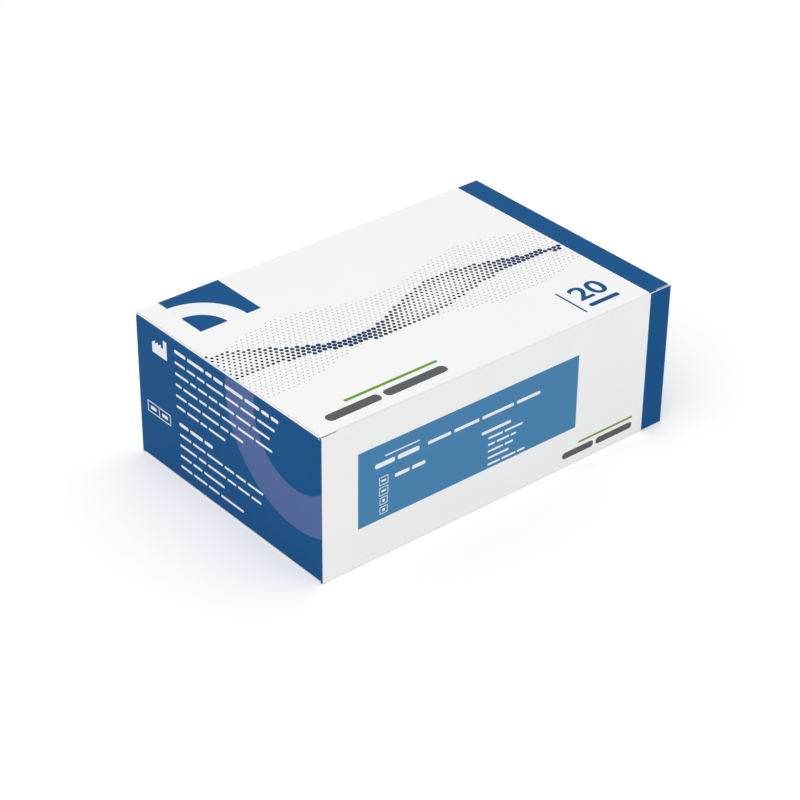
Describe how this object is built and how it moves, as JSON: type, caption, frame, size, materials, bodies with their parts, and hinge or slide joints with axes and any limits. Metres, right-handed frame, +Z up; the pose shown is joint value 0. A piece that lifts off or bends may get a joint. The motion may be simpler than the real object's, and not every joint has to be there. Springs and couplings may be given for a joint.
{
  "type": "folding carton",
  "caption": "Closed rectangular paperboard kit carton with a hinged tuck lid, dust flaps and a glued auto-lock bottom, printed in blue on white.",
  "frame": {"origin": "on the surface the carton stands on, under the middle of its box", "axes": "+X along the length, from the blue end towards the end with the band; +Y to the rear, where the lid hinges; +Z up"},
  "size_m": [0.2, 0.131, 0.073],
  "materials": {
    "board": "coated white, satin",
    "ink_blue": "printed, satin",
    "ink_label_blue": "printed, satin",
    "ink_navy": "printed, satin",
    "ink_lavender": "printed, satin",
    "ink_grey": "printed, satin",
    "ink_green": "printed, satin",
    "ink_white": "unprinted coating, satin"
  },
  "bodies": {
    "carton": {"carton_body": "board"},
    "lid": {"lid": "board"}
  },
  "joints": [
    {"name": "lid_hinge", "type": "hinge", "parent": "carton", "child": "lid", "pos_m": [0, 0.06525, 0.07275], "axis": [-1, 0, 0], "range_deg": [0, 180]}
  ]
}
